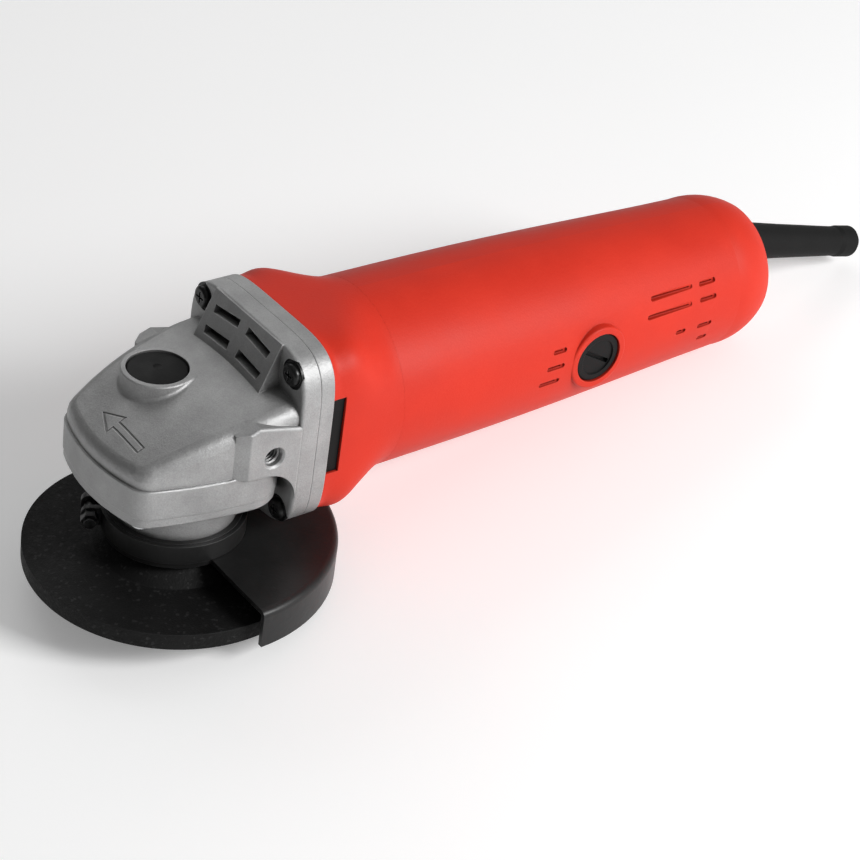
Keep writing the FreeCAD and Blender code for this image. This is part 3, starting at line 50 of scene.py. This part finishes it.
# ---------------------------------------------------------------- material helpers
class Graph:
    """Small wrapper for building one material's node tree."""

    def __init__(self, name):
        self.material = bpy.data.materials.new(name)
        self.material.use_nodes = True
        self.tree = self.material.node_tree
        self.tree.nodes.clear()
        self.out = self.node("ShaderNodeOutputMaterial")
        self.shader = self.node("ShaderNodeBsdfPrincipled")
        self.link(self.shader.outputs["BSDF"], self.out.inputs["Surface"])
        self.place = self.node("ShaderNodeTexCoord").outputs["Object"]

    def node(self, kind, **settings):
        made = self.tree.nodes.new(kind)
        for key, value in settings.items():
            setattr(made, key, value)
        return made

    def link(self, source, target):
        self.tree.links.new(source, target)

    def put(self, target, value):
        """A socket's value, or a link when the value is another socket."""
        if isinstance(value, bpy.types.NodeSocket):
            self.link(value, target)
        else:
            target.default_value = value

    def set(self, **values):
        for key, value in values.items():
            self.put(self.shader.inputs[key.replace("_", " ")], value)

    def math(self, operation, a, b=0.0):
        made = self.node("ShaderNodeMath", operation=operation)
        self.put(made.inputs[0], a)
        self.put(made.inputs[1], b)
        return made.outputs[0]

    def span(self, value, low, high, to_low=0.0, to_high=1.0):
        made = self.node("ShaderNodeMapRange", clamp=True)
        for i, v in enumerate((value, low, high, to_low, to_high)):
            self.put(made.inputs[i], v)
        return made.outputs[0]

    def noise(self, size_mm, detail, rough=0.55, stretch=None):
        """Noise whose features are about size_mm across."""
        where = self.place
        if stretch:
            mapping = self.node("ShaderNodeMapping")
            mapping.inputs["Scale"].default_value = stretch
            self.link(where, mapping.inputs["Vector"])
            where = mapping.outputs[0]
        made = self.node("ShaderNodeTexNoise")
        made.inputs["Scale"].default_value = 1.0 / (size_mm * MM)
        made.inputs["Detail"].default_value = detail
        made.inputs["Roughness"].default_value = rough
        self.link(where, made.inputs["Vector"])
        return made.outputs["Fac"]

    def cells(self, size_mm, feature, output="Distance"):
        made = self.node("ShaderNodeTexVoronoi", feature=feature)
        made.inputs["Scale"].default_value = 1.0 / (size_mm * MM)
        self.link(self.place, made.inputs["Vector"])
        return made.outputs[output]

    def mix(self, factor, a, b):
        made = self.node("ShaderNodeMix", data_type="RGBA")
        self.put(made.inputs[0], factor)
        self.put(made.inputs[6], a)
        self.put(made.inputs[7], b)
        return made.outputs[2]

    def bumps(self, layers, round_mm=0.0):
        """layers are (height socket, depth in mm); the first lies deepest in the chain."""
        normal = None
        if round_mm:
            bevel = self.node("ShaderNodeBevel", samples=BEVEL_SAMPLES)
            bevel.inputs["Radius"].default_value = round_mm * MM
            normal = bevel.outputs[0]
        for height, depth in layers:
            bump = self.node("ShaderNodeBump")
            bump.inputs["Strength"].default_value = 1.0
            bump.inputs["Distance"].default_value = depth * MM
            self.link(height, bump.inputs["Height"])
            if normal:
                self.link(normal, bump.inputs["Normal"])
            normal = bump.outputs[0]
        self.link(normal, self.shader.inputs["Normal"])

    def edges(self, radius_mm):
        """Painted highlight mask: 1 on exposed edge rounding and 0 on flat faces, from the bevelled
        normal.
        """
        bevel = self.node("ShaderNodeBevel", samples=BEVEL_SAMPLES)
        bevel.inputs["Radius"].default_value = radius_mm * MM
        geometry = self.node("ShaderNodeNewGeometry")
        dot = self.node("ShaderNodeVectorMath", operation="DOT_PRODUCT")
        self.link(bevel.outputs[0], dot.inputs[0])
        self.link(geometry.outputs["Normal"], dot.inputs[1])
        return self.span(dot.outputs["Value"], 0.995, 0.85)

    def painted_corner_shade(self, reach_mm):
        """Painted shade mask from ambient occlusion: 0 in corners and 1 on open faces."""
        made = self.node("ShaderNodeAmbientOcclusion", samples=OCCLUSION_SAMPLES)
        made.inputs["Distance"].default_value = reach_mm * MM
        return made.outputs["AO"]


def grey(value, warm=0.0):
    return (value * (1 + warm), value, value * (1 - warm), 1.0)


# ---------------------------------------------------------------- materials
def cast_aluminium():
    g = Graph("cast_aluminium")
    grain = g.noise(0.55, 4.0, 0.7)
    patches = g.noise(14.0, 3.0, 0.6)
    dents = g.cells(1.3, "SMOOTH_F1")
    tone = g.mix(g.span(patches, 0.35, 0.7), (0.39, 0.39, 0.39, 1), (0.50, 0.50, 0.50, 1))
    tone = g.mix(g.span(grain, 0.30, 0.75), g.mix(0.5, tone, grey(0.20)), tone)
    # painted highlight: the edge rounding turns pale grey
    tone = g.mix(g.math("MULTIPLY", g.edges(0.5), 0.5), tone, grey(0.74))
    # painted shade: corners and recesses turn dark warm grey
    tone = g.mix(g.span(g.painted_corner_shade(5.0), 0.25, 0.85), grey(0.12, 0.02), tone)
    g.set(Base_Color=tone, Metallic=0.72, Roughness=g.span(grain, 0.25, 0.8, 0.44, 0.60))
    g.bumps([(patches, 0.05), (dents, 0.06), (grain, 0.12)], 0.45)
    return g.material


def red_plastic():
    g = Graph("red_plastic")
    grain = g.cells(0.55, "SMOOTH_F1")
    cloud = g.noise(28.0, 3.0, 0.55)
    fine = g.noise(0.35, 2.0)
    tone = g.mix(g.span(cloud, 0.3, 0.7), (0.54, 0.021, 0.008, 1), (0.60, 0.026, 0.010, 1))
    tone = g.mix(g.math("MULTIPLY", g.span(fine, 0.4, 0.75), 0.10), tone, (0.75, 0.10, 0.05, 1))
    # painted highlight: the edge rounding turns a lighter red
    tone = g.mix(g.math("MULTIPLY", g.edges(0.5), 0.3), tone, (0.80, 0.09, 0.045, 1))
    # painted shade: corners and recesses turn a darker red
    tone = g.mix(g.span(g.painted_corner_shade(4.0), 0.2, 0.8), (0.30, 0.012, 0.006, 1), tone)
    g.set(Base_Color=tone, Roughness=g.span(cloud, 0.3, 0.7, 0.48, 0.58), Specular_IOR_Level=0.22)
    g.bumps([(cloud, 0.12), (grain, 0.035), (fine, 0.012)], 0.5)
    return g.material


def black_plastic(name="black_plastic", base=0.003, rough=0.46):
    g = Graph(name)
    grain = g.cells(0.5, "SMOOTH_F1")
    cloud = g.noise(6.0, 3.0)
    tone = g.mix(g.span(cloud, 0.3, 0.7), grey(base), grey(base * 1.7))
    # painted highlight: the edge rounding turns a lighter grey
    tone = g.mix(g.math("MULTIPLY", g.edges(0.4), 0.4), tone, grey(base * 4))
    sheen = g.span(cloud, 0.3, 0.7, rough - 0.05, rough + 0.08)
    g.set(Base_Color=tone, Roughness=sheen, Specular_IOR_Level=0.16)
    g.bumps([(cloud, 0.03), (grain, 0.02)], 0.35)
    return g.material


def rubber():
    g = Graph("rubber")
    cloud = g.noise(9.0, 4.0)
    fine = g.noise(0.4, 3.0, 0.65)
    tone = g.mix(g.span(cloud, 0.3, 0.7), grey(0.004), grey(0.008))
    # ambient occlusion mask: corners and recesses take the flat grey(0.008), open faces keep a quarter of
    # the cloud tone
    tone = g.mix(g.math("MULTIPLY", g.span(g.painted_corner_shade(3.0), 0.5, 1.0), 0.25), grey(0.008), tone)
    g.set(Base_Color=tone, Roughness=g.span(fine, 0.3, 0.7, 0.56, 0.72), Specular_IOR_Level=0.12)
    g.bumps([(cloud, 0.05), (fine, 0.03)], 0.4)
    return g.material


def blackened_screw():
    g = Graph("black_screw")
    cloud = g.noise(1.6, 4.0, 0.6)
    tone = g.mix(g.span(cloud, 0.35, 0.7), grey(0.02), grey(0.05))
    # painted highlight: the edge rounding turns a lighter grey
    tone = g.mix(g.math("MULTIPLY", g.edges(0.3), 0.7), tone, grey(0.22))
    g.set(Base_Color=tone, Metallic=0.85, Roughness=g.span(cloud, 0.3, 0.7, 0.28, 0.42))
    g.bumps([(cloud, 0.03)], 0.25)
    return g.material


def steel(name, tone_value, rough, warm=0.0):
    g = Graph(name)
    streaks = g.noise(0.35, 2.0, 0.5, stretch=(1.0, 1.0, 9.0))
    cloud = g.noise(5.0, 3.0)
    tone = g.mix(g.span(cloud, 0.3, 0.7), grey(tone_value * 0.82, warm), grey(tone_value, warm))
    # painted highlight: the edge rounding turns a lighter grey
    tone = g.mix(g.math("MULTIPLY", g.edges(0.25), 0.5), tone, grey(min(1.0, tone_value * 1.4)))
    g.set(Base_Color=tone, Metallic=1.0, Roughness=g.span(streaks, 0.3, 0.7, rough - 0.06, rough + 0.08))
    g.bumps([(streaks, 0.012)], 0.2)
    return g.material


def guard_paint():
    g = Graph("guard_paint")
    peel = g.noise(1.4, 2.0, 0.5)
    cloud = g.noise(22.0, 4.0, 0.6)
    scuffs = g.noise(3.0, 5.0, 0.7, stretch=(1.0, 1.0, 0.25))
    tone = g.mix(g.span(cloud, 0.3, 0.7), grey(0.008), grey(0.014))
    tone = g.mix(g.math("MULTIPLY", g.span(scuffs, 0.60, 0.80), 0.25), tone, grey(0.05))
    # painted highlight: the edge rounding turns a lighter grey
    tone = g.mix(g.math("MULTIPLY", g.edges(0.4), 0.4), tone, grey(0.12))
    g.set(Base_Color=tone, Roughness=g.span(cloud, 0.3, 0.7, 0.34, 0.46), Specular_IOR_Level=0.3)
    g.set(Coat_Weight=0.05, Coat_Roughness=0.28)
    g.bumps([(peel, 0.05), (scuffs, 0.02)], 0.4)
    return g.material


def disc_abrasive():
    g = Graph("disc_abrasive")
    grit = g.cells(0.62, "F1")
    fleck = g.cells(0.9, "F1", "Color")
    coarse = g.noise(1.5, 4.0, 0.7)
    cloud = g.noise(20.0, 3.0)
    bright = g.node("ShaderNodeSeparateColor")
    g.link(fleck, bright.inputs[0])
    tone = g.mix(g.span(cloud, 0.3, 0.7), grey(0.005), grey(0.010))
    tone = g.mix(g.math("MULTIPLY", g.span(bright.outputs[0], 0.90, 0.99), 0.10), tone, grey(0.16))
    # painted highlight: the edge rounding turns a lighter grey
    tone = g.mix(g.math("MULTIPLY", g.edges(0.5), 0.15), tone, grey(0.10))
    g.set(Base_Color=tone, Roughness=g.span(coarse, 0.3, 0.7, 0.55, 0.75), Specular_IOR_Level=0.16)
    g.bumps([(cloud, 0.10), (coarse, 0.10), (grit, 0.10)], 0.4)
    return g.material


def lamination():
    """Thin sheet edges, stacked along the motor axis."""
    g = Graph("lamination")
    split = g.node("ShaderNodeSeparateXYZ")
    g.link(g.place, split.inputs[0])
    sheets = g.math("SINE", g.math("MULTIPLY", split.outputs[0], 2 * math.pi / (0.6 * MM)))
    cloud = g.noise(4.0, 4.0)
    tone = g.mix(g.span(sheets, -1, 1), grey(0.10), grey(0.24))
    tone = g.mix(g.math("MULTIPLY", g.span(cloud, 0.45, 0.8), 0.4), tone, (0.16, 0.08, 0.04, 1))
    g.set(Base_Color=tone, Metallic=0.8, Roughness=0.5)
    g.bumps([(sheets, 0.03), (cloud, 0.03)], 0.2)
    return g.material


def copper():
    """Wound enamelled wire: fine ridges along the motor axis."""
    g = Graph("copper")
    split = g.node("ShaderNodeSeparateXYZ")
    g.link(g.place, split.inputs[0])
    wander = g.math("MULTIPLY", g.noise(5.0, 2.0), 3.0 * MM)
    across = g.math("ADD", g.math("ADD", split.outputs[1], split.outputs[2]), wander)
    strands = g.math("SINE", g.math("MULTIPLY", across, 2 * math.pi / (0.7 * MM)))
    tone = g.mix(g.span(strands, -1, 1), (0.30, 0.09, 0.035, 1), (0.72, 0.27, 0.11, 1))
    g.set(Base_Color=tone, Metallic=0.9, Roughness=0.34)
    g.set(Coat_Weight=0.5, Coat_Roughness=0.15)
    g.bumps([(strands, 0.08)], 0.2)
    return g.material


def brass():
    g = Graph("brass")
    cloud = g.noise(3.0, 4.0)
    streaks = g.noise(0.3, 2.0, 0.5, stretch=(1.0, 6.0, 1.0))
    tone = g.mix(g.span(cloud, 0.3, 0.7), (0.52, 0.36, 0.13, 1), (0.72, 0.53, 0.22, 1))
    g.set(Base_Color=tone, Metallic=1.0, Roughness=g.span(streaks, 0.3, 0.7, 0.25, 0.40))
    g.bumps([(streaks, 0.01)], 0.2)
    return g.material


def carbon():
    g = Graph("carbon")
    grain = g.noise(0.3, 4.0, 0.7)
    tone = g.mix(g.span(grain, 0.3, 0.7), grey(0.02), grey(0.06))
    g.set(Base_Color=tone, Metallic=0.2, Roughness=0.45)
    g.bumps([(grain, 0.02)], 0.2)
    return g.material


def glossy_case(name, dark, light):
    g = Graph(name)
    cloud = g.noise(4.0, 3.0)
    fine = g.noise(0.5, 2.0)
    tone = g.mix(g.span(cloud, 0.3, 0.7), dark, light)
    g.set(Base_Color=tone, Roughness=g.span(fine, 0.3, 0.7, 0.18, 0.30))
    g.bumps([(cloud, 0.04), (fine, 0.01)], 0.3)
    return g.material


def make_materials():
    return {
        "cast_aluminium": cast_aluminium(),
        "red_plastic": red_plastic(),
        "black_plastic": black_plastic(),
        "fan_plastic": black_plastic("fan_plastic", 0.03, 0.5),
        "black_screw": blackened_screw(),
        "steel": steel("steel", 0.55, 0.28),
        "gear_steel": steel("gear_steel", 0.36, 0.34),
        "bearing_steel": steel("bearing_steel", 0.68, 0.18),
        "zinc_steel": steel("zinc_steel", 0.62, 0.26, -0.02),
        "guard_paint": guard_paint(),
        "disc_abrasive": disc_abrasive(),
        "rubber": rubber(),
        "lamination": lamination(),
        "copper": copper(),
        "brass": brass(),
        "carbon": carbon(),
        "capacitor_case": glossy_case("capacitor_case", (0.45, 0.30, 0.04, 1), (0.60, 0.42, 0.07, 1)),
        "wire_insulation": glossy_case("wire_insulation", (0.02, 0.05, 0.22, 1), (0.04, 0.09, 0.32, 1)),
    }


MATERIALS = make_materials()


def dress_cad_nodes():
    """Every CAD node takes the procedural material of its record slot."""
    for part in RECORD["subparts"]:
        node = frame["nodes"][part["node"]]
        node.data.materials.clear()
        node.data.materials.append(MATERIALS[part["material_slot"]])


# ---------------------------------------------------------------- added detail
def new_piece(name, mesh_data, body, slot_name):
    piece = bpy.data.objects.new(name, mesh_data)
    bpy.context.scene.collection.objects.link(piece)
    mesh_data.materials.append(MATERIALS[slot_name])
    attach(piece, body)


def basis_for(axis):
    """Rotation that takes +Z to the axis."""
    return Vector((0, 0, 1)).rotation_difference(Vector(axis).normalized()).to_matrix().to_4x4()


THREAD_PITCH = 1.25 * MM        # M8
THREAD_DEPTH = 0.60 * MM
THREAD_GAP = 0.02 * MM          # between the thread's root and the wall of the hole
THREAD_INSET = 0.45 * MM        # from the open end of the hole's plain wall to the thread
THREAD_SHORTER = 1.2 * MM       # the thread is this much shorter than the plain wall
THREAD_STEPS = 48               # sections in one turn
ROOT_HALF = 0.46                # half widths of the ridge, as parts of the pitch
CREST_HALF = 0.07
LEAST_HEIGHT = 0.05             # the ridge's height at its two ends, as a part of its full height


def thread_mesh(name, root_r, length):
    """Internal V thread standing inward from root_r: one closed helical ridge from z = -length to 0."""
    mesh = bpy.data.meshes.new(name)
    bm = bmesh.new()
    pitch = THREAD_PITCH
    count = int((length - pitch) / pitch * THREAD_STEPS)
    run_out = THREAD_STEPS * 0.5
    rings = []
    for i in range(count + 1):
        angle = 2 * math.pi * i / THREAD_STEPS
        z = -pitch / 2 - pitch * i / THREAD_STEPS
        height = min(1.0, i / run_out, (count - i) / run_out + LEAST_HEIGHT)
        tip = root_r - THREAD_DEPTH * max(height, LEAST_HEIGHT)
        profile = [
            (root_r, z + pitch * ROOT_HALF),
            (tip, z + pitch * CREST_HALF),
            (tip, z - pitch * CREST_HALF),
            (root_r, z - pitch * ROOT_HALF),
        ]
        rings.append([bm.verts.new((r * math.cos(angle), r * math.sin(angle), h)) for r, h in profile])
    for a, b in zip(rings, rings[1:]):
        for k in range(4):
            following = (k + 1) % 4
            bm.faces.new((a[k], a[following], b[following], b[k]))
    bm.faces.new(rings[0][::-1])
    bm.faces.new(rings[-1])
    bmesh.ops.recalc_face_normals(bm, faces=bm.faces)
    bm.to_mesh(mesh)
    bm.free()
    return mesh


def handle_threads():
    """M8 thread inside each handle hole; the mount stands half way down the hole's plain wall."""
    for side in ("right", "left"):
        mount = MOUNTS["handle_hole_" + side]
        wall_r = mount["dims"]["r_mm"] * MM
        length = mount["dims"]["length_mm"] * MM
        mesh = thread_mesh("handle_thread_" + side, wall_r - THREAD_GAP, length - THREAD_SHORTER)
        start = Vector(mount["pos_m"]) + Vector(mount["axis"]) * (length / 2 - THREAD_INSET)
        mesh.transform(Matrix.Translation(start) @ basis_for(mount["axis"]))
        new_piece("handle_thread_" + side, mesh, "housing", "cast_aluminium")


# ---------------------------------------------------------------- stage
CONTACT_INSET = 4 * MM      # from the guard's and the tail's rearmost edges to where they stand
TAIL_ROUNDING = 2 * MM      # at that place the rounded tail is this much above its lowest point
FLOOR_GAP = 0.4 * MM        # the floor lies this much under the tool
FLOOR_SIZE = 9.0


def resting_plane():
    """Plane through the guard's lower edge and the tail of the housing, as (point, tilt about Y)."""
    guard_low, guard_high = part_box("wheel_guard")
    tail_low, tail_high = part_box("rear_cover")
    front = Vector((guard_high.x - CONTACT_INSET, 0, guard_low.z))
    back = Vector((tail_high.x - CONTACT_INSET, 0, tail_low.z + TAIL_ROUNDING))
    tilt = math.atan2(back.z - front.z, back.x - front.x)
    return front, tilt


def floor():
    point, tilt = resting_plane()
    below = (point.x, point.y, point.z - FLOOR_GAP)
    bpy.ops.mesh.primitive_plane_add(size=FLOOR_SIZE, location=below)
    plane = bpy.context.object
    plane.name = "floor"
    plane.rotation_euler = (0, -tilt, 0)
    g = Graph("floor_paper")
    tint = g.noise(400.0, 2.0)
    tooth = g.noise(1.2, 3.0)
    tone = g.mix(g.span(tint, 0.3, 0.7), grey(0.89), grey(0.92))
    g.set(Base_Color=tone, Roughness=0.85, Specular_IOR_Level=0.2)
    g.set(Emission_Color=grey(1.0), Emission_Strength=0.22)
    g.bumps([(tooth, 0.01)])
    plane.data.materials.append(g.material)


def area_light(name, place, target, size, power):
    light = bpy.data.lights.new(name, "AREA")
    light.shape = "RECTANGLE"
    light.size, light.size_y = size
    light.energy = power
    lamp = bpy.data.objects.new(name, light)
    lamp.location = place
    lamp.rotation_euler = (Vector(target) - Vector(place)).to_track_quat("-Z", "Y").to_euler()
    bpy.context.scene.collection.objects.link(lamp)


def lights():
    middle = (0.11, 0.0, 0.05)
    area_light("key", (0.60, -1.05, 0.80), middle, (0.5, 0.5), 20.0)
    area_light("fill", (-0.95, -0.25, 0.85), middle, (0.9, 0.9), 0.5)
    area_light("back", (0.2, 0.9, 0.9), middle, (0.9, 0.5), 2.2)
    world = bpy.data.worlds.new("studio")
    world.use_nodes = True
    tree = world.node_tree
    where = tree.nodes.new("ShaderNodeTexCoord")
    split = tree.nodes.new("ShaderNodeSeparateXYZ")
    level = tree.nodes.new("ShaderNodeMapRange")
    tree.links.new(where.outputs["Generated"], split.inputs[0])
    tree.links.new(split.outputs[0], level.inputs[0])
    # the room is darker in front of the nose (-X) and lighter behind the tail
    front_x, back_x, front_level, back_level = -0.8, 0.5, 0.06, 0.34
    for i, value in enumerate((front_x, back_x, front_level, back_level), start=1):
        level.inputs[i].default_value = value
    tree.nodes["Background"].inputs[0].default_value = (1.0, 1.0, 1.0, 1)
    tree.links.new(level.outputs[0], tree.nodes["Background"].inputs[1])
    bpy.context.scene.world = world
    bpy.context.scene.view_settings.view_transform = "Standard"


def camera():
    """Long lens seen from the right, in front and above, turned a little about its own axis."""
    azimuth, elevation, roll = math.radians(-41.95), math.radians(33.53), math.radians(8.89)
    target = Vector((0.10833, 0.0, 0.01772))
    distance = 0.81936
    back = Vector(
        (
            math.sin(azimuth) * math.cos(elevation),
            -math.cos(azimuth) * math.cos(elevation),
            math.sin(elevation),
        )
    )
    right = Vector((math.cos(azimuth), math.sin(azimuth), 0.0))
    up = back.cross(right)
    right, up = right * math.cos(roll) + up * math.sin(roll), up * math.cos(roll) - right * math.sin(roll)
    data = bpy.data.cameras.new("camera")
    data.sensor_width = 36.0
    data.lens = 94.93
    data.clip_start = 0.01
    seen = bpy.data.objects.new("camera", data)
    turn = Matrix((right, up, back)).transposed()
    seen.matrix_world = Matrix.Translation(target + back * distance) @ turn.to_4x4()
    bpy.context.scene.collection.objects.link(seen)
    bpy.context.scene.camera = seen


dress_cad_nodes()
handle_threads()
floor()
lights()
camera()
